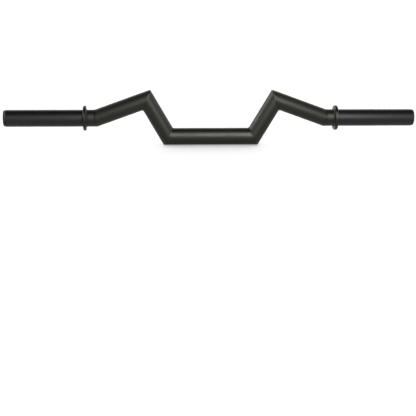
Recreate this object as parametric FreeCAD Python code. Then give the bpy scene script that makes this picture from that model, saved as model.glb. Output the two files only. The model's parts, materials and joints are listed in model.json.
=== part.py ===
"""An EZ curl bar: a handle of mitred, welded steel pipe with a turning sleeve for plates at each end.

Frame: +X along the bar, +Z up, the bends in the XZ plane. The origin lies under the middle of the centre
grip, on the floor that the bar stands on. The right half is modelled and mirrored to give the left half.
"""
import FreeCAD, Part
import math
import os

# Driving dimensions, in millimetres and degrees

# Pipe of the grips and necks
TUBE_DIAMETER = 48.3
TUBE_WALL = 3.7

# The bar's run, measured on the pipe's axis from bend to bend
CENTRE_GRIP_LENGTH = 250.0
INNER_GRIP_LENGTH = 125.0
INNER_GRIP_SLOPE = 60.0
OUTER_GRIP_LENGTH = 156.0
OUTER_GRIP_SLOPE = 20.0
NECK_LENGTH = 36.0

# Flat that dressing the weld leaves on the outer corner of each bend, and the fillet weld behind each collar
BEND_FLAT = 5.5
COLLAR_WELD_LEG = 3.2

# Collar that the plates stop against
COLLAR_DIAMETER = 72.0
COLLAR_THICKNESS = 8.0
COLLAR_CHAMFER = 0.8

# Sleeve that carries the plates
SLEEVE_DIAMETER = 48.3
SLEEVE_WALL = 5.15
SLEEVE_LENGTH = 221.9
SLEEVE_INNER_CHAMFER = 0.6
SLEEVE_END_CHAMFER = 1.3

# Spindle that the sleeve turns on, with its bushings
SPINDLE_DIAMETER = 30.0
BUSHING_LENGTH = 30.0

# Washers and the split ring that hold the sleeve on the spindle
THRUST_WASHER_THICKNESS = 1.2
THRUST_WASHER_INSET = 1.6
END_WASHER_THICKNESS = 2.0
RING_THICKNESS = 1.5
RING_GROOVE_DEPTH = 0.7
RING_SLIT = 3.0
RING_SETBACK = 4.0

# Cap pushed into the sleeve's open end
CAP_INSET = 0.05
CAP_HEAD_THICKNESS = 6.5
CAP_DOME_HEIGHT = 2.4
CAP_PLUG_LENGTH = 12.0

# Clearances
COLLAR_FIT = 0.05
PLUG_FIT = 0.05
PLUG_SETBACK = 4.0
PRESS_FIT = 0.03
RUNNING_FIT = 0.05
WASHER_FIT = 0.3
RING_FIT = 0.05
AXIAL_PLAY = 0.3
SPINDLE_END_GAP = 3.0

# Sizes worked out from those above
TUBE_RADIUS = TUBE_DIAMETER / 2
TUBE_BORE = TUBE_RADIUS - TUBE_WALL
SLEEVE_RADIUS = SLEEVE_DIAMETER / 2
SLEEVE_BORE = SLEEVE_RADIUS - SLEEVE_WALL
SPINDLE_RADIUS = SPINDLE_DIAMETER / 2
GROOVE_RADIUS = SPINDLE_RADIUS - RING_GROOVE_DEPTH
RING_RADIUS = (SPINDLE_RADIUS + SLEEVE_BORE) / 2
CAP_HEAD_RADIUS = SLEEVE_RADIUS - SLEEVE_END_CHAMFER - CAP_INSET


def polar(length, slope):
    """A step of the bar's axis: a length along the bar, tilted up by a slope in degrees."""
    angle = math.radians(slope)
    return FreeCAD.Vector(length * math.cos(angle), 0, length * math.sin(angle))


# The axis of the right half, from the middle of the bar to the collar
MIDDLE = FreeCAD.Vector(0, 0, TUBE_RADIUS)
LOWER_BEND = MIDDLE + polar(CENTRE_GRIP_LENGTH / 2, 0)
APEX_BEND = LOWER_BEND + polar(INNER_GRIP_LENGTH, INNER_GRIP_SLOPE)
NECK_BEND = APEX_BEND + polar(OUTER_GRIP_LENGTH, -OUTER_GRIP_SLOPE)
COLLAR_POINT = NECK_BEND + polar(NECK_LENGTH, 0)
SLEEVE_AXIS_Z = COLLAR_POINT.z

# Places along the sleeve's axis, outwards from the collar's outer face
COLLAR_FACE = COLLAR_POINT.x
COLLAR_BACK = COLLAR_FACE - COLLAR_THICKNESS
SLEEVE_START = COLLAR_FACE + THRUST_WASHER_THICKNESS + AXIAL_PLAY
SLEEVE_END = SLEEVE_START + SLEEVE_LENGTH
CAP_PLUG_START = SLEEVE_END - CAP_PLUG_LENGTH
SPINDLE_END = CAP_PLUG_START - SPINDLE_END_GAP
RING_END = SPINDLE_END - RING_SETBACK
RING_START = RING_END - RING_THICKNESS
END_WASHER_START = RING_START - END_WASHER_THICKNESS
OUTER_BUSHING_START = END_WASHER_START - AXIAL_PLAY - BUSHING_LENGTH


def mirrored(shape):
    """The same piece on the other half of the bar."""
    return shape.mirror(FreeCAD.Vector(0, 0, 0), FreeCAD.Vector(1, 0, 0))


def turned(outline):
    """Revolve an outline of (place along the bar, radius) corners about the sleeve's axis."""
    corners = [FreeCAD.Vector(x, 0, SLEEVE_AXIS_Z + radius) for x, radius in outline]
    face = Part.Face(Part.makePolygon(corners + corners[:1]))
    return face.revolve(FreeCAD.Vector(0, 0, SLEEVE_AXIS_Z), FreeCAD.Vector(1, 0, 0), 360)


def ring(start, length, bore, radius):
    """A plain turned ring about the sleeve's axis."""
    end = start + length
    return turned([(start, bore), (end, bore), (end, radius), (start, radius)])


def cut_square(pipe, point, outwards):
    """Cut off all of a pipe's end that lies outwards of a plane through a point."""
    reach = 2 * TUBE_DIAMETER
    return pipe.cut(Part.makeCylinder(reach, reach, point, outwards))


class Mitre:
    """The plane in which two pipes meet at a bend, where they are welded all round."""

    def __init__(self, bend, before, after):
        to_before = (before - bend).normalize()
        to_after = (after - bend).normalize()
        self.bend = bend
        self.normal = (to_before - to_after).normalize()
        self.crotch = (to_before + to_after).normalize()
        self.half_turn = (math.pi - to_before.getAngle(to_after)) / 2

    def trimmed(self, pipe, kept_point):
        """Cut off what a pipe has beyond the mitre plane, and blunt the sharp outer corner."""
        outwards = self.normal * -math.copysign(1, self.normal.dot(kept_point - self.bend))
        to_corner = TUBE_RADIUS / math.cos(self.half_turn)
        to_flat = to_corner - BEND_FLAT / 2 * math.tan(self.half_turn)
        corner = self.bend - self.crotch * to_flat
        return cut_square(cut_square(pipe, self.bend, outwards), corner, self.crotch * -1)


LOWER_MITRE = Mitre(LOWER_BEND, MIDDLE, APEX_BEND)
APEX_MITRE = Mitre(APEX_BEND, LOWER_BEND, NECK_BEND)
NECK_MITRE = Mitre(NECK_BEND, APEX_BEND, COLLAR_POINT)


def pipe_between(start, end, spare_start, spare_end):
    """A straight length of pipe, with spare length beyond each end that is still to be mitred."""
    axis = (end - start).normalize()
    first = start - axis * spare_start
    length = (end - start).Length + spare_start + spare_end
    outside = Part.makeCylinder(TUBE_RADIUS, length, first, axis)
    return outside.cut(Part.makeCylinder(TUBE_BORE, length, first, axis))


def centre_grip():
    """The low straight grip, mitred at both ends."""
    left_bend = FreeCAD.Vector(-LOWER_BEND.x, 0, LOWER_BEND.z)
    pipe = pipe_between(left_bend, LOWER_BEND, TUBE_DIAMETER, TUBE_DIAMETER)
    right_cut = LOWER_MITRE.trimmed(pipe, MIDDLE)
    return mirrored(LOWER_MITRE.trimmed(mirrored(right_cut), MIDDLE))


def inner_grip():
    """The steep grip from the lower bend up to the apex."""
    pipe = pipe_between(LOWER_BEND, APEX_BEND, TUBE_DIAMETER, TUBE_DIAMETER)
    return APEX_MITRE.trimmed(LOWER_MITRE.trimmed(pipe, APEX_BEND), LOWER_BEND)


def outer_grip():
    """The shallow grip from the apex down to the neck."""
    pipe = pipe_between(APEX_BEND, NECK_BEND, TUBE_DIAMETER, TUBE_DIAMETER)
    return NECK_MITRE.trimmed(APEX_MITRE.trimmed(pipe, NECK_BEND), APEX_BEND)


def neck():
    """The short level pipe that carries the collar and holds the spindle's plug."""
    pipe = pipe_between(NECK_BEND, COLLAR_POINT, TUBE_DIAMETER, 0)
    return NECK_MITRE.trimmed(pipe, COLLAR_POINT)


def collar():
    """A disc with both rim edges chamfered, slipped over the end of the neck."""
    bore = TUBE_RADIUS + COLLAR_FIT
    rim = COLLAR_DIAMETER / 2
    return turned([
        (COLLAR_BACK, bore),
        (COLLAR_FACE, bore),
        (COLLAR_FACE, rim - COLLAR_CHAMFER),
        (COLLAR_FACE - COLLAR_CHAMFER, rim),
        (COLLAR_BACK + COLLAR_CHAMFER, rim),
        (COLLAR_BACK, rim - COLLAR_CHAMFER),
    ])


def collar_weld():
    """A fillet weld in the corner between the neck and the collar's back."""
    foot = TUBE_RADIUS + COLLAR_FIT
    return turned([
        (COLLAR_BACK - COLLAR_WELD_LEG, foot),
        (COLLAR_BACK, foot),
        (COLLAR_BACK, foot + COLLAR_WELD_LEG),
    ])


def spindle():
    """A turned bar: a plug that fills the neck's bore, and a journal with a groove for the split ring."""
    mitre_reach = TUBE_BORE * math.tan(NECK_MITRE.half_turn)
    plug_start = NECK_BEND.x + mitre_reach + PLUG_SETBACK
    plug = TUBE_BORE - PLUG_FIT
    groove_end = RING_END + RING_FIT
    return turned([
        (plug_start, 0),
        (plug_start, plug),
        (COLLAR_FACE, plug),
        (COLLAR_FACE, SPINDLE_RADIUS),
        (RING_START, SPINDLE_RADIUS),
        (RING_START, GROOVE_RADIUS),
        (groove_end, GROOVE_RADIUS),
        (groove_end, SPINDLE_RADIUS),
        (SPINDLE_END, SPINDLE_RADIUS),
        (SPINDLE_END, 0),
    ])


def sleeve():
    """The plate sleeve, with a broken edge at the collar and a wider chamfer at the open end."""
    return turned([
        (SLEEVE_START, SLEEVE_BORE),
        (SLEEVE_END, SLEEVE_BORE),
        (SLEEVE_END, SLEEVE_RADIUS - SLEEVE_END_CHAMFER),
        (SLEEVE_END - SLEEVE_END_CHAMFER, SLEEVE_RADIUS),
        (SLEEVE_START + SLEEVE_INNER_CHAMFER, SLEEVE_RADIUS),
        (SLEEVE_START, SLEEVE_RADIUS - SLEEVE_INNER_CHAMFER),
    ])


def bushings():
    """Two plain bushes pressed into the sleeve, running on the spindle near its ends."""
    bore = SPINDLE_RADIUS + RUNNING_FIT
    outside = SLEEVE_BORE - PRESS_FIT
    starts = (SLEEVE_START, OUTER_BUSHING_START)
    return Part.makeCompound([ring(start, BUSHING_LENGTH, bore, outside) for start in starts])


def thrust_washer():
    """The washer between the collar and the sleeve, set in from the pipe's outside."""
    bore = SPINDLE_RADIUS + WASHER_FIT
    return ring(COLLAR_FACE, THRUST_WASHER_THICKNESS, bore, SLEEVE_RADIUS - THRUST_WASHER_INSET)


def end_washer():
    """The washer between the outer bushing and the split ring."""
    bore = SPINDLE_RADIUS + WASHER_FIT
    return ring(END_WASHER_START, END_WASHER_THICKNESS, bore, SLEEVE_BORE - WASHER_FIT)


def retaining_ring():
    """A split ring that snaps into the spindle's groove."""
    whole = ring(RING_START, RING_THICKNESS, GROOVE_RADIUS + RING_FIT, RING_RADIUS)
    corner = FreeCAD.Vector(RING_START, -RING_SLIT / 2, SLEEVE_AXIS_Z)
    return whole.cut(Part.makeBox(RING_THICKNESS, RING_SLIT, RING_RADIUS, corner))


def end_cap():
    """A moulded cap: a plug in the sleeve's bore, and a head whose face is part of a large sphere."""
    plug = SLEEVE_BORE - PRESS_FIT
    head_end = SLEEVE_END + CAP_HEAD_THICKNESS
    blank = turned([
        (CAP_PLUG_START, 0),
        (CAP_PLUG_START, plug),
        (SLEEVE_END, plug),
        (SLEEVE_END, CAP_HEAD_RADIUS),
        (head_end, CAP_HEAD_RADIUS),
        (head_end, 0),
    ])
    dome_radius = (CAP_HEAD_RADIUS ** 2 + CAP_DOME_HEIGHT ** 2) / (2 * CAP_DOME_HEIGHT)
    dome_centre = FreeCAD.Vector(head_end - dome_radius, 0, SLEEVE_AXIS_Z)
    return blank.common(Part.makeSphere(dome_radius, dome_centre))


# Every node of the assembly: the centre grip, pieces that have a node on each side, and small alike pieces
# of the handle that share one node
NODES = {"centre_grip": centre_grip()}

ONE_NODE_A_SIDE = {
    "inner_grip": inner_grip(),
    "outer_grip": outer_grip(),
    "spindle": spindle(),
    "sleeve": sleeve(),
    "bushings": bushings(),
    "end_cap": end_cap(),
}
for name, shape in ONE_NODE_A_SIDE.items():
    NODES["left_" + name] = mirrored(shape)
    NODES["right_" + name] = shape

SHARED_BY_BOTH_SIDES = {
    "necks": neck(),
    "collars": collar(),
    "collar_welds": collar_weld(),
    "thrust_washers": thrust_washer(),
    "end_washers": end_washer(),
    "retaining_rings": retaining_ring(),
}
for name, shape in SHARED_BY_BOTH_SIDES.items():
    NODES[name] = Part.makeCompound([mirrored(shape), shape])

os.makedirs("parts", exist_ok=True)
for name, shape in NODES.items():
    shape.exportStep(os.path.join("parts", name + ".step"))
    print(name, "solids", len(shape.Solids), "volume", round(shape.Volume / 1000, 2), "cm3")
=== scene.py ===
# %% [markdown]
# # An EZ curl bar in a white studio
#
# The bar is a handle of round steel pipe, cut at angles and welded at six bends, with a sleeve for weight
# plates that turns on each end. Its construction comes ready as a fixed frame, so this lesson only dresses
# it: it models the surfaces that show, gives them their finish and lights them. All lengths are metres in
# the frame's own axes, with +X along the bar, +Z up and the floor at zero.

# %% Load the construction
import json
import math
from collections import namedtuple

import bmesh
import bpy
from mathutils import Matrix, Vector
from mathutils.geometry import intersect_line_line


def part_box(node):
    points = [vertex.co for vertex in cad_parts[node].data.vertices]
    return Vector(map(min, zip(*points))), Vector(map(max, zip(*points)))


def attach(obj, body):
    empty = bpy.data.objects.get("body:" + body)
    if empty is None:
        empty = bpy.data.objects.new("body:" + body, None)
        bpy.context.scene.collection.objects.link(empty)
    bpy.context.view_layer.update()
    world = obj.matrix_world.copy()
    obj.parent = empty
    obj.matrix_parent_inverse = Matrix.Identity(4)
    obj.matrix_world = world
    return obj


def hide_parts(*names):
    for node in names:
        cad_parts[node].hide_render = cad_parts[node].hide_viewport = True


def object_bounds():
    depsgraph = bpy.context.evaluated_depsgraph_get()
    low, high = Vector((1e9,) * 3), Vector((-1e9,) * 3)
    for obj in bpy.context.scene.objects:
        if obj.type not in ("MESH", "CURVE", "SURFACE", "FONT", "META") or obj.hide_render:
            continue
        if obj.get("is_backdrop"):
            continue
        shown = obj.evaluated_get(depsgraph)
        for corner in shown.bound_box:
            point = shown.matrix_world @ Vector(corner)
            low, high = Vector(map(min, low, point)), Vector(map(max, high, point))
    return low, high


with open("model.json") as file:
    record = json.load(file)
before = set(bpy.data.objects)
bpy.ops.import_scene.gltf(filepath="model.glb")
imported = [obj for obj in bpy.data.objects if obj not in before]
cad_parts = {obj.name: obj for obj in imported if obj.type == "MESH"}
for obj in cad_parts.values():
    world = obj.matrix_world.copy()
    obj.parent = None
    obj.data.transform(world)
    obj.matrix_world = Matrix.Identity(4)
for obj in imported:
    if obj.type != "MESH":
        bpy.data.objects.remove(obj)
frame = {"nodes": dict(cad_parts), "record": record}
cad_box = [list(corner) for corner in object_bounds()]
MM = 0.001
print("Construction loaded with", len(frame["nodes"]), "nodes")

# %% [markdown]
# ## The bar's run
#
# Every stretch of pipe follows a straight axis, and two stretches meet where their axes cross. The record
# names each hand grip with a point on its axis and the axis's direction, so the bends can be worked out as
# crossings, and no size has to be copied by hand. Only the right half is measured, because the left half is
# its mirror image.

# %% Find the axes and the bends
mounts = {mount["name"]: mount for mount in frame["record"]["mounts"]}


def axis_of(mount_name):
    """Two points on the axis that a mount of the record names."""
    point = Vector(mounts[mount_name]["pos_m"])
    return point, point + Vector(mounts[mount_name]["axis"])


def crossing(first, second):
    """The point where two axes meet."""
    return intersect_line_line(*first, *second)[0]


centre_axis = axis_of("centre_grip")
steep_axis = axis_of("right_inner_grip")
shallow_axis = axis_of("right_outer_grip")
sleeve_axis = axis_of("right_plate_sleeve")

TUBE_RADIUS = centre_axis[0].z  # the centre grip lies on the floor
LOWER_BEND = crossing(centre_axis, steep_axis)
APEX_BEND = crossing(steep_axis, shallow_axis)
NECK_BEND = crossing(shallow_axis, sleeve_axis)
SLEEVE_AXIS_Z = sleeve_axis[0].z
for name, bend in (("lower", LOWER_BEND), ("apex", APEX_BEND), ("neck", NECK_BEND)):
    print(name, "bend at", [round(value / MM, 2) for value in bend], "mm")

# %% Measure the turned pieces at the right-hand end
LOW, HIGH = 0, 1  # the two corners of a node's box

COLLAR_FACE = mounts["right_plate_stop"]["pos_m"][0]
COLLAR_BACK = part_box("collar_welds")[HIGH].x
COLLAR_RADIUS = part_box("collars")[HIGH].y
WELD_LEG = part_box("collar_welds")[HIGH].y - TUBE_RADIUS
SLEEVE_RADIUS = mounts["right_plate_sleeve"]["dims"]["r_mm"] * MM
SLEEVE_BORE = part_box("right_bushings")[HIGH].y
SLEEVE_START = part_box("right_sleeve")[LOW].x
SLEEVE_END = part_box("right_sleeve")[HIGH].x
CAP_PLUG_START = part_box("right_end_cap")[LOW].x
CAP_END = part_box("right_end_cap")[HIGH].x
CAP_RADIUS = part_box("right_end_cap")[HIGH].y
print("Collar", round(2 * COLLAR_RADIUS / MM, 2), "mm across")
print("Sleeve", round((SLEEVE_END - SLEEVE_START) / MM, 2), "mm long")

# %% [markdown]
# ## One way to write a finish
#
# A finish is a small tree of shader nodes. Setting nodes up one by one takes many like lines, so one
# function adds a node, sets its properties, and sets or links its inputs. A second one turns a colour that
# is written the way people pick it, as a hex value, into the linear light that shaders reckon with.

# %% Helpers for finishes
def linear(hex_colour):
    """A linear colour with alpha from an sRGB hex value, by the curve that the sRGB standard gives."""
    shares = [int(hex_colour[place:place + 2], 16) / 255 for place in (1, 3, 5)]
    light = [share / 12.92 if share <= 0.04045 else ((share + 0.055) / 1.055) ** 2.4 for share in shares]
    return light + [1.0]


def add_node(tree, kind, inputs=None, **settings):
    """Add a node with its settings. An input given as a socket is linked, and any other is set."""
    node = tree.nodes.new(kind)
    for name, value in settings.items():
        setattr(node, name, value)
    for name, value in (inputs or {}).items():
        if isinstance(value, bpy.types.NodeSocket):
            tree.links.new(value, node.inputs[name])
        else:
            node.inputs[name].default_value = value
    return node


def new_finish(name):
    """A material with an empty tree, and the socket of the object's own coordinates in metres."""
    material = bpy.data.materials.new(name)
    material.use_nodes = True
    material.node_tree.nodes.clear()
    place = add_node(material.node_tree, "ShaderNodeTexCoord").outputs["Object"]
    return material, material.node_tree, place


# A Mix node has sockets of the same names for numbers, vectors and colours, so these three go by number
MIX_LOW, MIX_HIGH, MIX_RESULT = 6, 7, 2
print("Mid grey is", round(linear("#808080")[0], 3), "in linear light")

# %% [markdown]
# ## Satin black powder coat
#
# The handle, the collars and the sleeves are steel that was sprayed with dry polyester powder and baked. The
# powder flows into a skin about 0.1 mm thick that is nearly black, satin rather than glossy, and has a faint
# grain like orange peel. A plain dark colour would look like paper, so three things vary here: a fine grain
# tints the colour and lifts the surface, and a slow cloud makes the gloss uneven, as a baked skin is. The
# coat lies smoother on turned and ground metal, so sleeves, collars and weld beads shine more than pipes.
# Plates rub through it at the edge of a sleeve's open end, and grey uncoated steel takes over there. That
# grey line is also a painted highlight, lighter than wear alone would leave it.

# %% Wear and painted highlight at the end of a sleeve
# The grey line at a sleeve's open end is wear, and also a painted highlight
RUBBED_AND_HIGHLIT_WIDTH = 1.3 * MM
RUBBED_AND_HIGHLIT_FADE = 0.3 * MM


def rubbed_and_highlit_share(tree, place):
    """How far the edge is worn and lit by a painted highlight: fully at a sleeve's open end, and nowhere
    else.
    """
    along = add_node(tree, "ShaderNodeSeparateXYZ", {"Vector": place}).outputs["X"]
    reach = add_node(tree, "ShaderNodeMath", {0: along}, operation="ABSOLUTE").outputs["Value"]
    start = SLEEVE_END - RUBBED_AND_HIGHLIT_WIDTH
    share = add_node(
        tree, "ShaderNodeMapRange",
        {"Value": reach, "From Min": start - RUBBED_AND_HIGHLIT_FADE, "From Max": start})
    return share.outputs["Result"]


print("Coat is rubbed through over", round(RUBBED_AND_HIGHLIT_WIDTH / MM, 1), "mm")

# %% Powder coat
# The real peel is about 0.6 mm, and is drawn coarser so that a picture of the whole bar can show it
COAT_GRAIN = 2.4 * MM
COAT_LIFT = 0.3 * MM
COAT_PEEL_STRENGTH = 0.5
COAT_CLOUD = 28 * MM
CLOUD_LOW, CLOUD_HIGH = 0.3, 0.7  # most of a noise's values lie between these
COAT_GLOSS_SPREAD = 0.04
POLYESTER_IOR = 1.5


def powder_coat(name, dark, light, roughness, sheen_tint, rubbed_and_highlit=None):
    """Baked polyester powder on steel: near black, satin, with a fine grain that catches the light."""
    material, tree, place = new_finish(name)
    grain = add_node(tree, "ShaderNodeTexNoise", {"Vector": place, "Scale": 1 / COAT_GRAIN, "Detail": 3.0})
    cloud = add_node(tree, "ShaderNodeTexNoise", {"Vector": place, "Scale": 1 / COAT_CLOUD, "Detail": 2.0})
    tint = add_node(
        tree, "ShaderNodeMix",
        {"Factor": grain.outputs["Fac"], MIX_LOW: linear(dark), MIX_HIGH: linear(light)}, data_type="RGBA")
    gloss = add_node(
        tree, "ShaderNodeMapRange",
        {"Value": cloud.outputs["Fac"], "From Min": CLOUD_LOW, "From Max": CLOUD_HIGH,
         "To Min": roughness - COAT_GLOSS_SPREAD, "To Max": roughness + COAT_GLOSS_SPREAD})
    peel = add_node(
        tree, "ShaderNodeBump",
        {"Height": grain.outputs["Fac"], "Strength": COAT_PEEL_STRENGTH, "Distance": COAT_LIFT})
    surface = add_node(
        tree, "ShaderNodeBsdfPrincipled",
        {"Base Color": tint.outputs[MIX_RESULT], "Roughness": gloss.outputs["Result"], "IOR": POLYESTER_IOR,
         "Specular Tint": linear(sheen_tint), "Normal": peel.outputs["Normal"]})
    # Grey metal over the edge at the open end: wear, and a painted highlight as well
    if rubbed_and_highlit:
        bare_and_highlit = rubbed_and_highlit_share(tree, place)
        worn_and_highlit_tint = add_node(
            tree, "ShaderNodeMix",
            {"Factor": bare_and_highlit, MIX_LOW: tint.outputs[MIX_RESULT], MIX_HIGH: linear(rubbed_and_highlit)}, data_type="RGBA")
        tree.links.new(worn_and_highlit_tint.outputs[MIX_RESULT], surface.inputs["Base Color"])
        tree.links.new(bare_and_highlit, surface.inputs["Metallic"])
    add_node(tree, "ShaderNodeOutputMaterial", {"Surface": surface.outputs["BSDF"]})
    return material


print("Grain is drawn", round(COAT_GRAIN / MM, 1), "mm wide")

# %% Coats of pipes, sleeves and ground metal
# On drawn pipe: black with a breath of olive in the sheen
handle_coat = powder_coat(
    "satin_black_powder_coat", "#0d0d0b", "#141411", roughness=0.425, sheen_tint="#fdfff4")
# On turned tube: a neutral, tighter sheen, and a dull grey line at the open end that is wear and painted
# highlight
sleeve_coat = powder_coat(
    "satin_black_sleeve_coat", "#0a0a0a", "#101010", roughness=0.385, sheen_tint="#ffffff", rubbed_and_highlit="#464543")
# On ground steel: the smoothest, so that rims and beads draw thin light lines
ground_coat = powder_coat(
    "satin_black_ground_metal_coat", "#0d0d0b", "#141411", roughness=0.3, sheen_tint="#fdfff4")
print("Made", handle_coat.name, "and", sleeve_coat.name, "and", ground_coat.name)

# %% [markdown]
# ## Finishes of the bearings and caps
#
# Beyond the collar the sleeve runs on bronze bushes round a turned spindle, held by a washer and a spring
# ring, and a plastic cap closes its end. The bearings hardly show on the closed bar, but a part in a library
# may be cut open or taken apart. So each piece gets what its maker would give it: tool marks round the
# turned steel, pores in the sintered bronze, a dull skin on the spring, and specks in the moulded plastic.

# %% Turned metal
TURNED_GLOSS_SPREAD = 0.06
TOOL_MARK_STRENGTH = 0.4
TOOL_MARK_LIFT = 0.01 * MM


def turned_metal(name, colour, roughness, mark_spacing):
    """Bare metal from a lathe: fine rings round the bar's axis, so the pattern varies along X alone."""
    material, tree, place = new_finish(name)
    along = add_node(tree, "ShaderNodeMapping", {"Vector": place, "Scale": (1 / mark_spacing, 0.0, 0.0)})
    marks = add_node(
        tree, "ShaderNodeTexNoise", {"Vector": along.outputs["Vector"], "Scale": 1.0, "Detail": 2.0})
    gloss = add_node(
        tree, "ShaderNodeMapRange",
        {"Value": marks.outputs["Fac"], "To Min": roughness - TURNED_GLOSS_SPREAD,
         "To Max": roughness + TURNED_GLOSS_SPREAD})
    rings = add_node(
        tree, "ShaderNodeBump",
        {"Height": marks.outputs["Fac"], "Strength": TOOL_MARK_STRENGTH, "Distance": TOOL_MARK_LIFT})
    surface = add_node(
        tree, "ShaderNodeBsdfPrincipled",
        {"Base Color": linear(colour), "Metallic": 1.0, "Roughness": gloss.outputs["Result"],
         "Normal": rings.outputs["Normal"]})
    add_node(tree, "ShaderNodeOutputMaterial", {"Surface": surface.outputs["BSDF"]})
    return material


# Bright and finely ringed
spindle_steel = turned_metal("turned_carbon_steel", "#b4b5b6", roughness=0.28, mark_spacing=0.35 * MM)
# Paler and a little blue, with wider rings
washer_steel = turned_metal("zinc_plated_steel", "#bcc1c6", roughness=0.32, mark_spacing=0.8 * MM)
print("Made", spindle_steel.name, "and", washer_steel.name)

# %% Specks
SPECK_START, SPECK_FULL = 0.55, 0.68  # values of the noise where a speck begins and where it is full
SPECK_STRENGTH = 0.4
SPECK_DEPTH = 0.1  # share of a speck's size


def speckled(name, ground, speck, speck_size, metallic, roughness):
    """A surface of one body colour with small darker or lighter specks, as pores or filler give."""
    material, tree, place = new_finish(name)
    specks = add_node(
        tree, "ShaderNodeTexNoise", {"Vector": place, "Scale": 1 / speck_size, "Detail": 2.0})
    share = add_node(
        tree, "ShaderNodeMapRange",
        {"Value": specks.outputs["Fac"], "From Min": SPECK_START, "From Max": SPECK_FULL}).outputs["Result"]
    tint = add_node(
        tree, "ShaderNodeMix",
        {"Factor": share, MIX_LOW: linear(ground), MIX_HIGH: linear(speck)}, data_type="RGBA")
    pits = add_node(
        tree, "ShaderNodeBump",
        {"Height": share, "Strength": SPECK_STRENGTH, "Distance": SPECK_DEPTH * speck_size}, invert=True)
    surface = add_node(
        tree, "ShaderNodeBsdfPrincipled",
        {"Base Color": tint.outputs[MIX_RESULT], "Metallic": metallic, "Roughness": roughness,
         "Normal": pits.outputs["Normal"]})
    add_node(tree, "ShaderNodeOutputMaterial", {"Surface": surface.outputs["BSDF"]})
    return material


print("Specks are", SPECK_DEPTH, "of their size deep")

# %% Bronze, spring steel and plastics
# Warm brown metal with dark pores that hold oil
bush_bronze = speckled(
    "oiled_sintered_bronze", "#a07238", "#4a3418", speck_size=0.5 * MM, metallic=1.0, roughness=0.42)
# Dark grey crystals over steel, half dull
spring_steel = speckled(
    "phosphated_spring_steel", "#2f3032", "#47484a", speck_size=0.4 * MM, metallic=0.6, roughness=0.5)
# Two plain black plastics with a soft shine
washer_nylon = speckled(
    "black_nylon", "#121212", "#1d1d1d", speck_size=0.7 * MM, metallic=0.0, roughness=0.5)
cap_plastic = speckled(
    "moulded_black_polyethylene", "#0c0c0b", "#141413", speck_size=0.9 * MM, metallic=0.0, roughness=0.55)
print("Made", bush_bronze.name, "and", spring_steel.name, "and", washer_nylon.name, "and", cap_plastic.name)

# %% Give the bearing nodes their finish
NODE_FINISHES = {
    "left_spindle": spindle_steel,
    "right_spindle": spindle_steel,
    "left_bushings": bush_bronze,
    "right_bushings": bush_bronze,
    "thrust_washers": washer_nylon,
    "end_washers": washer_steel,
    "retaining_rings": spring_steel,
}
for name, finish in NODE_FINISHES.items():
    for material_slot in frame["nodes"][name].material_slots:
        material_slot.material = finish
print("Finished", len(NODE_FINISHES), "nodes of the bearings")

# %% [markdown]
# ## From a bmesh to a piece of the bar
#
# Each new piece is shaped in a bmesh at its place on the bar, and one function turns it into an object: faces
# are made to point outwards, shading is smooth except across crisp edges, and the piece is set to move with
# its body. Left-hand pieces are right-hand ones scaled by -1 along X, which turns them inside out, so normals
# are recalculated last.

# %% Helpers for pieces
CRISP_ANGLE = math.radians(35)


def flipped(mesh):
    """Turn a right-hand piece into its left-hand mirror image."""
    bmesh.ops.scale(mesh, vec=(-1, 1, 1), verts=mesh.verts[:])
    return mesh


def doubled(mesh):
    """Add the left-hand mirror image to a right-hand piece."""
    bmesh.ops.mirror(mesh, geom=mesh.verts[:] + mesh.edges[:] + mesh.faces[:], merge_dist=0, axis="X")
    return mesh


def add_piece(name, mesh, body, finish, replaced=()):
    """Make an object of a bmesh that rides on a body and stands for the nodes that it replaces."""
    bmesh.ops.recalc_face_normals(mesh, faces=mesh.faces[:])
    data = bpy.data.meshes.new(name)
    mesh.to_mesh(data)
    mesh.free()
    data.shade_smooth()
    data.set_sharp_from_angle(angle=CRISP_ANGLE)
    data.materials.append(finish)
    piece = bpy.data.objects.new(name, data)
    bpy.context.scene.collection.objects.link(piece)
    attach(piece, body)
    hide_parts(*replaced)
    print(name, "has", len(data.polygons), "faces")


print("Edges over", round(math.degrees(CRISP_ANGLE)), "degrees stay crisp")

# %% [markdown]
# ## Mitred pipe
#
# A fitter cuts each pipe at half the angle of the bend, so that two ends meet in one plane, and dresses the
# sharp outer corner flat after welding. In Blender a bent curve with a bevel would round or pinch the
# corners, so each stretch is made as the fitter makes it: a straight pipe with spare length, cut with
# `bisect_plane`, and closed at the cut. Beside the weld at the neck a thin dark groove is left open at the
# front. A second cut there, slightly askew, leaves a gap that is widest at the front and closes towards the
# back.

# %% Where the pipes meet
Mitre = namedtuple("Mitre", "bend normal crotch half_turn")


def mitre_at(bend, before, after):
    """The plane halfway between two pipes, and the direction into the crotch of the bend."""
    to_before = (before - bend).normalized()
    to_after = (after - bend).normalized()
    half_turn = (math.pi - to_before.angle(to_after)) / 2
    return Mitre(bend, (to_before - to_after).normalized(), (to_before + to_after).normalized(), half_turn)


COLLAR_POINT = Vector((COLLAR_FACE, 0, SLEEVE_AXIS_Z))
CENTRE_POINT = Vector((0, 0, TUBE_RADIUS))
lower_mitre = mitre_at(LOWER_BEND, CENTRE_POINT, APEX_BEND)
apex_mitre = mitre_at(APEX_BEND, LOWER_BEND, NECK_BEND)
neck_mitre = mitre_at(NECK_BEND, APEX_BEND, COLLAR_POINT)
bend_mitres = {"lower": lower_mitre, "apex": apex_mitre, "neck": neck_mitre}
for name, mitre in bend_mitres.items():
    print(name, "bend turns", round(2 * math.degrees(mitre.half_turn), 1), "degrees")

# %% Cut and close pipes
PIPE_SEGMENTS = 128
BEND_FLAT = 5.5 * MM  # width of the flat that a grinder leaves on the outer corner of a bend


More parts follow.
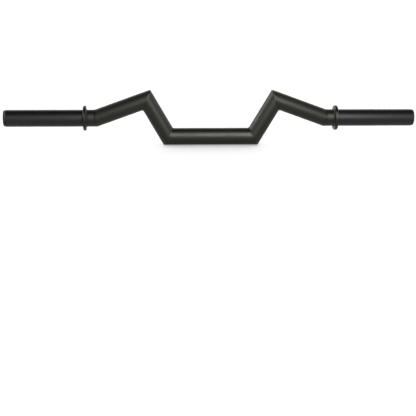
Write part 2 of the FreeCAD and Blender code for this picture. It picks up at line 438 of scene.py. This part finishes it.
def straight_pipe(start, end):
    """An open tube round the line from start to end, with a diameter to spare at each end."""
    mesh = bmesh.new()
    along = (end - start).normalized()
    spare = along * 2 * TUBE_RADIUS
    turn = along.to_track_quat("Z", "Y").to_matrix().to_4x4()
    bmesh.ops.create_circle(
        mesh, segments=PIPE_SEGMENTS, radius=TUBE_RADIUS, matrix=Matrix.Translation(start - spare) @ turn)
    grown = bmesh.ops.extrude_edge_only(mesh, edges=mesh.edges[:])
    far_ring = [part for part in grown["geom"] if isinstance(part, bmesh.types.BMVert)]
    bmesh.ops.translate(mesh, verts=far_ring, vec=end - start + 2 * spare)
    return mesh


def cut_off(mesh, point, outwards):
    """Take away what lies outwards of a plane, and close the pipe there."""
    everything = mesh.verts[:] + mesh.edges[:] + mesh.faces[:]
    cut = bmesh.ops.bisect_plane(mesh, geom=everything, plane_co=point, plane_no=outwards, clear_outer=True)
    rim = [part for part in cut["geom_cut"] if isinstance(part, bmesh.types.BMEdge)]
    bmesh.ops.contextual_create(mesh, geom=rim)


def dress_corner(mesh, mitre, height):
    """Take off the sharp outer corner of a bend, down to a height over the flat that the grinder leaves."""
    to_corner = TUBE_RADIUS / math.cos(mitre.half_turn)
    to_flat = to_corner - BEND_FLAT / 2 * math.tan(mitre.half_turn)
    cut_off(mesh, mitre.bend - mitre.crotch * (to_flat + height), -mitre.crotch)
    return mesh


def mitred(mesh, mitre, kept_point):
    """Cut a pipe at a mitre, and dress the corner."""
    side = mitre.normal.dot(kept_point - mitre.bend)
    cut_off(mesh, mitre.bend, mitre.normal * -math.copysign(1, side))
    return dress_corner(mesh, mitre, 0)


print("Pipes are", round(2 * TUBE_RADIUS / MM, 2), "mm across")

# %% Make the grips
def centre_grip():
    """The low straight grip. It is cut at the right, flipped, and cut at the other end the same way."""
    left_bend = Vector((-LOWER_BEND.x, 0, LOWER_BEND.z))
    mesh = mitred(straight_pipe(left_bend, LOWER_BEND), lower_mitre, CENTRE_POINT)
    return mitred(flipped(mesh), lower_mitre, CENTRE_POINT)


def inner_grip():
    """The steep grip from the lower bend to the apex."""
    mesh = mitred(straight_pipe(LOWER_BEND, APEX_BEND), lower_mitre, APEX_BEND)
    return mitred(mesh, apex_mitre, LOWER_BEND)


def outer_grip():
    """The shallow grip from the apex to the neck."""
    mesh = mitred(straight_pipe(APEX_BEND, NECK_BEND), apex_mitre, NECK_BEND)
    return mitred(mesh, neck_mitre, APEX_BEND)


add_piece("centre_grip_pipe", centre_grip(), "handle", handle_coat, ["centre_grip"])
for grip_name, grip in (("inner_grip", inner_grip), ("outer_grip", outer_grip)):
    for node, mesh in (("left_" + grip_name, flipped(grip())), ("right_" + grip_name, grip())):
        add_piece(node + "_pipe", mesh, "handle", handle_coat, [node])

# %% Make the necks
GROOVE_REACH = 2.5 * MM  # from the neck's mitre back to the widest place of the groove beside the bead
GROOVE_RISE = math.radians(20)  # where that place is, from the middle of the front towards the top
GROOVE_SKEW = math.radians(10.5)  # between the second cut and the mitre


def neck():
    """The short level pipe. A second, skew cut leaves the groove, and the far end is square."""
    mesh = mitred(straight_pipe(NECK_BEND, COLLAR_POINT), neck_mitre, COLLAR_POINT)
    to_groove = neck_mitre.crotch * math.sin(GROOVE_RISE) - Vector((0, math.cos(GROOVE_RISE), 0))
    widest = NECK_BEND + to_groove * TUBE_RADIUS - neck_mitre.normal * GROOVE_REACH
    cut_off(mesh, widest, neck_mitre.normal + to_groove * math.tan(GROOVE_SKEW))
    cut_off(mesh, COLLAR_POINT, Vector((1, 0, 0)))
    return mesh


add_piece("neck_pipes", doubled(neck()), "handle", handle_coat, ["necks"])

# %% [markdown]
# ## Weld beads
#
# Each bend is welded all round and lightly dressed before it is coated, so a low rippled bead shows as a thin
# bright and dark line. A bump map could draw that line, but the mesh would lack it. So each bead is a ring
# that is spun from the bead's outline, rippled, and stretched to the ellipse in which the mitre plane cuts
# the pipe. The fillet weld behind each collar is a ring of the same kind that stays round.

# %% Spin an outline
MERGE_DISTANCE = 0.001 * MM


def spun(outline, steps):
    """Spin a closed outline of (place along X, radius) corners once round the X axis."""
    mesh = bmesh.new()
    corners = [mesh.verts.new((along, 0, radius)) for along, radius in outline]
    sides = [mesh.edges.new(pair) for pair in zip(corners, corners[1:] + corners[:1])]
    bmesh.ops.spin(
        mesh, geom=corners + sides, cent=(0, 0, 0), axis=(1, 0, 0), angle=2 * math.pi, steps=steps,
        use_merge=True)
    bmesh.ops.remove_doubles(mesh, verts=mesh.verts[:], dist=MERGE_DISTANCE)
    bmesh.ops.recalc_face_normals(mesh, faces=mesh.faces[:])
    return mesh


print("Corners nearer than", round(MERGE_DISTANCE / MM, 3), "mm are merged")

# %% Ripple a ring
RIPPLE_PITCH = 2.4 * MM
RIPPLE_LIFT = 0.06 * MM
BEAD_SEGMENTS = 288

RIPPLE_COUNT = round(2 * math.pi * TUBE_RADIUS / RIPPLE_PITCH)


def rippled_ring(outline, place):
    """Spin an outline, ripple what lies outside the pipe, and put the ring in its place by a matrix."""
    mesh = spun(outline, BEAD_SEGMENTS)
    for vert in mesh.verts:
        radius = math.hypot(vert.co.y, vert.co.z)
        if radius > TUBE_RADIUS + RIPPLE_LIFT:
            wave = math.sin(RIPPLE_COUNT * math.atan2(vert.co.y, vert.co.z))
            vert.co.yz *= 1 + RIPPLE_LIFT * wave / radius
    bmesh.ops.transform(mesh, matrix=place, verts=mesh.verts[:])
    return mesh


print("A bead has", RIPPLE_COUNT, "ripples")

# %% Beads at the six bends
BEAD_WIDTH = 2.8 * MM
BEAD_OUTLINE = (  # share of the bead's width from its middle, height over the pipe in mm
    (-0.50, -1.20),
    (-0.50, -0.20),
    (-0.44, 0.25),
    (-0.34, 0.60),
    (0.00, 0.72),
    (0.34, 0.60),
    (0.44, 0.25),
    (0.50, -0.20),
    (0.50, -1.20),
)
DRESSED_HEIGHT = 0.1 * MM  # of a bead over the flat of the corner


def bend_bead(mitre):
    """A bead that follows both pipes round a mitre, fills the crotch and covers the dressed corner."""
    outline = [(share * BEAD_WIDTH, TUBE_RADIUS + height * MM) for share, height in BEAD_OUTLINE]
    sideways = mitre.normal.cross(mitre.crotch)
    stretched = mitre.crotch / math.cos(mitre.half_turn)
    shift = mitre.crotch * (BEAD_WIDTH / 2 * math.tan(mitre.half_turn))
    turn = Matrix((mitre.normal, sideways, stretched)).transposed().to_4x4()
    mesh = rippled_ring(outline, Matrix.Translation(mitre.bend + shift) @ turn)
    return dress_corner(mesh, mitre, DRESSED_HEIGHT)


for bend_name, mitre in bend_mitres.items():
    add_piece("left_" + bend_name + "_bead", flipped(bend_bead(mitre)), "handle", ground_coat)
    add_piece("right_" + bend_name + "_bead", bend_bead(mitre), "handle", ground_coat)

# %% Fillet welds behind the collars
FILLET_OUTLINE = (  # shares of the leg, back from the collar and up from the pipe
    (0.0, -0.2),
    (0.0, 1.0),
    (0.30, 0.78),
    (0.56, 0.55),
    (0.80, 0.30),
    (1.0, 0.0),
    (1.0, -0.2),
)


def collar_fillet():
    """A slightly crowned run of weld in the corner between the neck and the collar's back."""
    outline = [(-back * WELD_LEG, TUBE_RADIUS + up * WELD_LEG) for back, up in FILLET_OUTLINE]
    return rippled_ring(outline, Matrix.Translation((COLLAR_BACK, 0, SLEEVE_AXIS_Z)))


add_piece("collar_fillets", doubled(collar_fillet()), "handle", handle_coat, ["collar_welds"])

# %% [markdown]
# ## Turned pieces
#
# Collar, sleeve and cap are round about the sleeve's axis, so each is an outline of a few corners that is
# spun once round, as the beads are. Real edges are never sharp: the collar's rim is broken by a tool, the
# sleeve is chamfered so that plates slide on, and the cap is moulded with a round edge. A modifier would
# treat all edges alike, so `bevel` gives each circle of edges its own width.

# %% Turn and round
TURNED_SEGMENTS = 160
CIRCLE_TOLERANCE = 0.01 * MM


def turned(outline):
    """Spin an outline of (place along the bar, radius) corners, and lift it to the sleeve's axis."""
    mesh = spun(outline, TURNED_SEGMENTS)
    bmesh.ops.translate(mesh, verts=mesh.verts[:], vec=(0, 0, SLEEVE_AXIS_Z))
    return mesh


def rounded(mesh, place, radius, width, segments):
    """Bevel the circle of edges at a place along the bar and a radius."""
    def on_circle(vert):
        reach = math.hypot(vert.co.y, vert.co.z - SLEEVE_AXIS_Z)
        return abs(vert.co.x - place) < CIRCLE_TOLERANCE and abs(reach - radius) < CIRCLE_TOLERANCE

    circle = [edge for edge in mesh.edges if all(on_circle(vert) for vert in edge.verts)]
    bmesh.ops.bevel(
        mesh, geom=circle, offset=width, offset_type="OFFSET", affect="EDGES", segments=segments, profile=0.5,
        material=-1)
    return mesh


print("A circle is spun in", TURNED_SEGMENTS, "steps")

# %% Collars
COLLAR_EDGE = 1.0 * MM


def collar():
    """The disc that stops the plates, with both rim edges broken."""
    mesh = turned([
        (COLLAR_BACK, TUBE_RADIUS),
        (COLLAR_FACE, TUBE_RADIUS),
        (COLLAR_FACE, COLLAR_RADIUS),
        (COLLAR_BACK, COLLAR_RADIUS),
    ])
    rounded(mesh, COLLAR_FACE, COLLAR_RADIUS, COLLAR_EDGE, segments=1)
    return rounded(mesh, COLLAR_BACK, COLLAR_RADIUS, COLLAR_EDGE, segments=1)


add_piece("collar_discs", doubled(collar()), "handle", ground_coat, ["collars"])

# %% Sleeves
SLEEVE_INNER_EDGE = 0.6 * MM
SLEEVE_END_EDGE = 1.3 * MM


def sleeve():
    """The tube that the plates slide on, with a plain chamfer at each end."""
    mesh = turned([
        (SLEEVE_START, SLEEVE_BORE),
        (SLEEVE_END, SLEEVE_BORE),
        (SLEEVE_END, SLEEVE_RADIUS),
        (SLEEVE_START, SLEEVE_RADIUS),
    ])
    rounded(mesh, SLEEVE_START, SLEEVE_RADIUS, SLEEVE_INNER_EDGE, segments=1)
    return rounded(mesh, SLEEVE_END, SLEEVE_RADIUS, SLEEVE_END_EDGE, segments=1)


add_piece("left_sleeve_tube", flipped(sleeve()), "left_sleeve", sleeve_coat, ["left_sleeve"])
add_piece("right_sleeve_tube", sleeve(), "right_sleeve", sleeve_coat, ["right_sleeve"])

# %% Caps
CAP_EDGE = 1.6 * MM
CAP_FOOT_EDGE = 0.4 * MM
CAP_DOME = 2.4 * MM
DOME_STEPS = 8


def end_cap():
    """A moulded cap: a plug in the bore, and a head with a round edge and a faint dome."""
    rim_end = CAP_END - CAP_DOME
    plug_and_rim = [
        (CAP_PLUG_START, 0),
        (CAP_PLUG_START, SLEEVE_BORE),
        (SLEEVE_END, SLEEVE_BORE),
        (SLEEVE_END, CAP_RADIUS),
    ]
    shares = [step / DOME_STEPS for step in range(DOME_STEPS, -1, -1)]
    dome = [(rim_end + CAP_DOME * (1 - share ** 2), CAP_RADIUS * share) for share in shares]
    mesh = turned(plug_and_rim + dome)
    rounded(mesh, SLEEVE_END, CAP_RADIUS, CAP_FOOT_EDGE, segments=2)
    return rounded(mesh, rim_end, CAP_RADIUS, CAP_EDGE, segments=3)


add_piece("left_moulded_cap", flipped(end_cap()), "left_sleeve", cap_plastic, ["left_end_cap"])
add_piece("right_moulded_cap", end_cap(), "right_sleeve", cap_plastic, ["right_end_cap"])

# %% [markdown]
# ## Floor and light
#
# A black bar on white shows its shape only by what it mirrors, so the studio is planned from the bar's side.
# Pale walls all round draw the light rim along the top of each pipe, a dark ceiling draws the black band
# below that rim, one large softbox in front draws the streak along the pipe, and a panel beyond the left end
# brightens the slopes that face it. The bar stands on a table of opal acrylic that is lit from below. Such
# a table stays white in the picture, and only the shadow of contact is left on it.

# %% Light table
TABLE_HALF_WIDTH = 40.0  # so wide that the camera never sees its edge
TABLE_GLOW = 0.34
TABLE_CLOUD = 4 * MM
TABLE_ROUGHNESS = 0.9


def light_table():
    """Opal acrylic lit from below: an even white glow, with a skin that lamps and shadows still show on."""
    material, tree, place = new_finish("opal_acrylic")
    cloud = add_node(tree, "ShaderNodeTexNoise", {"Vector": place, "Scale": 1 / TABLE_CLOUD, "Detail": 2.0})
    tint = add_node(
        tree, "ShaderNodeMix",
        {"Factor": cloud.outputs["Fac"], MIX_LOW: linear("#888888"), MIX_HIGH: linear("#8c8c8c")},
        data_type="RGBA")
    surface = add_node(
        tree, "ShaderNodeBsdfPrincipled",
        {"Base Color": tint.outputs[MIX_RESULT], "Roughness": TABLE_ROUGHNESS,
         "Emission Color": linear("#ffffff"), "Emission Strength": TABLE_GLOW})
    add_node(tree, "ShaderNodeOutputMaterial", {"Surface": surface.outputs["BSDF"]})
    return material


table_mesh = bmesh.new()
bmesh.ops.create_grid(table_mesh, x_segments=1, y_segments=1, size=TABLE_HALF_WIDTH)
table_data = bpy.data.meshes.new("light_table")
table_mesh.to_mesh(table_data)
table_mesh.free()
table_data.materials.append(light_table())
table = bpy.data.objects.new("light_table", table_data)
bpy.context.scene.collection.objects.link(table)
table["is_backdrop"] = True
print("Table is", 2 * TABLE_HALF_WIDTH, "m square")

# %% Helpers for lamps
BAR_MIDDLE = Vector((0, 0, 0.075))


def direction_to(azimuth, elevation):
    """A unit vector away from the bar, by angles in radians. Azimuth 0 is in front, and below 0 is left."""
    level = math.cos(elevation)
    return Vector((math.sin(azimuth) * level, -math.cos(azimuth) * level, math.sin(elevation)))


def softbox(name, azimuth, elevation, distance, width, height, watts):
    """A rectangular lamp that looks at the bar, placed by angles in degrees."""
    away = direction_to(math.radians(azimuth), math.radians(elevation))
    lamp = bpy.data.lights.new(name, "AREA")
    lamp.shape = "RECTANGLE"
    lamp.size = width
    lamp.size_y = height
    lamp.energy = watts
    holder = bpy.data.objects.new(name, lamp)
    holder.location = BAR_MIDDLE + away * distance
    holder.rotation_euler = away.to_track_quat("Z", "Y").to_euler()
    bpy.context.scene.collection.objects.link(holder)
    print(name, "at", [round(value, 2) for value in holder.location])
    return holder


def linked_set(name, members):
    """A collection that only tells a lamp which objects it works on."""
    group = bpy.data.collections.new(name)
    for member in members:
        group.objects.link(member)
    return group


print("Lamps look at", [round(value, 3) for value in BAR_MIDDLE])

# %% Lamps for the bar
all_but_table = linked_set("all_but_table", [table])
all_but_table.collection_objects[0].light_linking.link_state = "EXCLUDE"
for lamp in (
    softbox("front_softbox", azimuth=11, elevation=33, distance=1.2, width=0.8, height=1.05, watts=21),
    softbox("left_panel", azimuth=-105, elevation=20, distance=2.4, width=1.2, height=1.0, watts=22),
):
    lamp.light_linking.receiver_collection = all_but_table

# %% [markdown]
# ## A shadow of its own
#
# In the photograph only the centre grip leaves a shadow, dark where it touches the table and soft beyond, as
# under a bright cloudy sky. A lamp can be linked to the objects that it lights and to those that cast its
# shadow. So one sun, spread over nearly the whole sky, shines on the table alone, and only the pieces that
# stand on the table block it. Its sampling is kept plain, because the linked shadow needs that.

# %% Lamp for the shadow
SHADOW_STRENGTH = 5.4
SHADOW_SPREAD = math.radians(178)
SHADOW_TILT = math.radians(-25)  # from behind the bar, so that the shadow falls to the front
STANDING_PIECES = ("centre_grip_pipe", "left_lower_bead", "right_lower_bead")

shadow_light = bpy.data.lights.new("shadow_lamp", "SUN")
shadow_light.energy = SHADOW_STRENGTH
shadow_light.angle = SHADOW_SPREAD
shadow_light.cycles.use_multiple_importance_sampling = False
shadow_lamp = bpy.data.objects.new("shadow_lamp", shadow_light)
shadow_lamp.rotation_euler = (SHADOW_TILT, 0, 0)
shadow_lamp.light_linking.receiver_collection = linked_set("table_alone", [table])
shadow_lamp.light_linking.blocker_collection = linked_set(
    "standing_pieces", [bpy.data.objects[name] for name in STANDING_PIECES])
bpy.context.scene.collection.objects.link(shadow_lamp)
print("Shadow cast by", len(STANDING_PIECES), "pieces")

# %% [markdown]
# ## Walls of the studio
#
# The walls need no geometry: a world whose brightness depends only on the height of each direction lights the
# bar as walls would. The picture is developed with a little more contrast than the screen's own curve, as
# product photographs are, which keeps the coat black beside a white table.

# %% World and contrast
WALL_LIGHT, CEILING_LIGHT = 1.6, 0.005
WALL_TOP, CEILING_START = 0.4, 0.99  # heights of a direction, as the sine of its angle over the horizon
PICTURE_GAMMA = 0.8


def studio_walls():
    """Bright walls all round that fall off to a dark ceiling."""
    world = bpy.data.worlds.new("studio_walls")
    world.use_nodes = True
    tree = world.node_tree
    tree.nodes.clear()
    direction = add_node(tree, "ShaderNodeTexCoord").outputs["Generated"]
    height = add_node(tree, "ShaderNodeSeparateXYZ", {"Vector": direction}).outputs["Z"]
    fall = add_node(
        tree, "ShaderNodeMapRange",
        {"Value": height, "From Min": WALL_TOP, "From Max": CEILING_START, "To Min": WALL_LIGHT,
         "To Max": CEILING_LIGHT}, interpolation_type="SMOOTHSTEP")
    light = add_node(
        tree, "ShaderNodeBackground", {"Color": linear("#ffffff"), "Strength": fall.outputs["Result"]})
    add_node(tree, "ShaderNodeOutputWorld", {"Surface": light.outputs["Background"]})
    return world


bpy.context.scene.world = studio_walls()
bpy.context.scene.view_settings.view_transform = "Standard"
bpy.context.scene.view_settings.gamma = PICTURE_GAMMA
print("World is", bpy.context.scene.world.name)

# %% [markdown]
# ## Camera
#
# The photograph was taken from a little above the bar and a little left of its middle, and slightly turned to
# level the bar. A long lens from a few metres keeps the two ends nearly the same size. The camera aims at the
# floor in front of the bar, so that the bar sits in the upper half of the picture.

# %% Camera
CAMERA_AZIMUTH = math.radians(-4.12)
CAMERA_ELEVATION = math.radians(12.34)
CAMERA_DISTANCE = 2.7
CAMERA_ROLL = math.radians(0.7)
CAMERA_LENS = 79.59  # focal length in millimetres
CAMERA_AIM = Vector((-0.0486, -0.6118, 0.0))

camera_data = bpy.data.cameras.new("studio_camera")
camera_data.lens = CAMERA_LENS
camera = bpy.data.objects.new("studio_camera", camera_data)
camera.location = BAR_MIDDLE + direction_to(CAMERA_AZIMUTH, CAMERA_ELEVATION) * CAMERA_DISTANCE
look = (CAMERA_AIM - camera.location).to_track_quat("-Z", "Y").to_matrix()
camera.rotation_euler = (look @ Matrix.Rotation(CAMERA_ROLL, 3, "Z")).to_euler()
bpy.context.scene.collection.objects.link(camera)
bpy.context.scene.camera = camera
print("Camera at", [round(value, 3) for value in camera.location])

# %% [markdown]
# ## Hand over
#
# Dressing must not change the object's size. So the box of the construction, kept since the start, is
# compared with the box of the dressed bar, and the last line prints how far they differ at most.

# %% Compare the boxes and finish
visual_box = [list(corner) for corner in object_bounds()]
differences = [
    abs(cad - visual) / MM
    for cad_corner, visual_corner in zip(cad_box, visual_box)
    for cad, visual in zip(cad_corner, visual_corner)
]
print("Boxes differ by at most", round(max(differences), 4), "mm")
